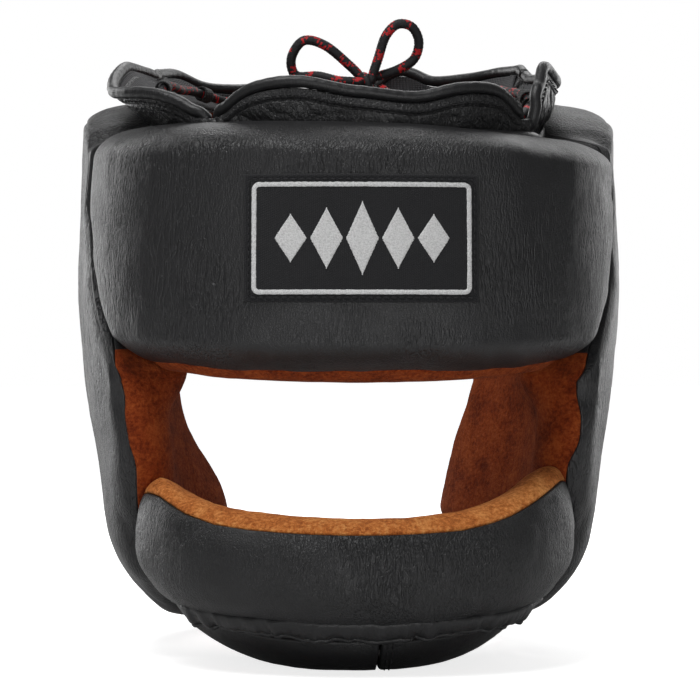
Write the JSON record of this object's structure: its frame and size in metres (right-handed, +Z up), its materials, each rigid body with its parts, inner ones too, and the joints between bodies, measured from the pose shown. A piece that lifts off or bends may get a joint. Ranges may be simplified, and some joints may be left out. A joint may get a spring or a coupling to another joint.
{
  "type": "boxing headguard",
  "caption": "Padded boxing headguard with a face bar, laced crown, overlapping chin cup and hook-and-loop nape strap; suede-lined leather over foam.",
  "frame": {"origin": "centre of the bounding box on the plane that the headguard stands on", "axes": "+Z up, -Y to the front where the face looks out, +X to the right as seen from the front"},
  "size_m": [0.2318, 0.2744, 0.2662],
  "materials": {
    "leather": "satin",
    "piping": "satin",
    "suede": "matte",
    "foam": "matte",
    "core": "matte",
    "ribbed_fabric": "matte",
    "woven_patch": "matte",
    "webbing": "matte",
    "lace": "matte",
    "lace_tip": "satin",
    "hook": "matte",
    "loop": "matte"
  },
  "bodies": {
    "guard": {"brow_cover": "leather", "brow_foam": "foam", "brow_lining": "suede", "brow_patch": "woven_patch", "side_cover_l": "leather", "side_foam_l": "foam", "side_lining_l": "suede", "side_cover_r": "leather", "side_foam_r": "foam", "side_lining_r": "suede", "back_cover": "leather", "back_foam": "foam", "back_lining": "suede", "bar_cover": "leather", "bar_lining": "suede", "bar_foam": "foam", "bar_core": "core", "bar_foam_inner": "foam", "bar_skirt": "leather", "crown_front": "leather", "crown_l": "leather", "crown_r": "leather", "crown_back_l": "leather", "crown_back_r": "leather", "crown_lining_front": "ribbed_fabric", "crown_lining_l": "ribbed_fabric", "crown_lining_r": "ribbed_fabric", "crown_lining_back_l": "ribbed_fabric", "crown_lining_back_r": "ribbed_fabric", "piping_front": "piping", "piping_l": "piping", "piping_r": "piping", "piping_back_l": "piping", "piping_back_r": "piping", "lace_keepers": "webbing", "lace_ring": "lace", "lace_knot": "lace", "lace_loop_l": "lace", "lace_loop_r": "lace", "lace_tail_l": "lace", "lace_tail_r": "lace", "lace_tips": "lace_tip", "chin_inner": "leather", "chin_root_r": "leather", "chin_binding_l": "piping", "chin_loop_patch": "loop", "wing_binding_l": "piping", "wing_binding_r": "piping", "nape_loop_patch": "loop"},
    "chin_flap": {"chin_flap": "leather", "chin_binding_r": "piping", "chin_hook_patch": "hook"},
    "nape_strap": {"nape_strap": "leather", "nape_hook_patch": "hook"}
  },
  "joints": [
    {"name": "chin_flap_swing", "type": "hinge", "parent": "guard", "child": "chin_flap", "pos_m": [0.061, -0.04, 0.0075], "axis": [0, -1, 0], "range_deg": [0, 90]},
    {"name": "nape_strap_swing", "type": "hinge", "parent": "guard", "child": "nape_strap", "pos_m": [-0.04, 0.104, 0.026], "axis": [0, 0, 1], "range_deg": [0, 110]}
  ]
}
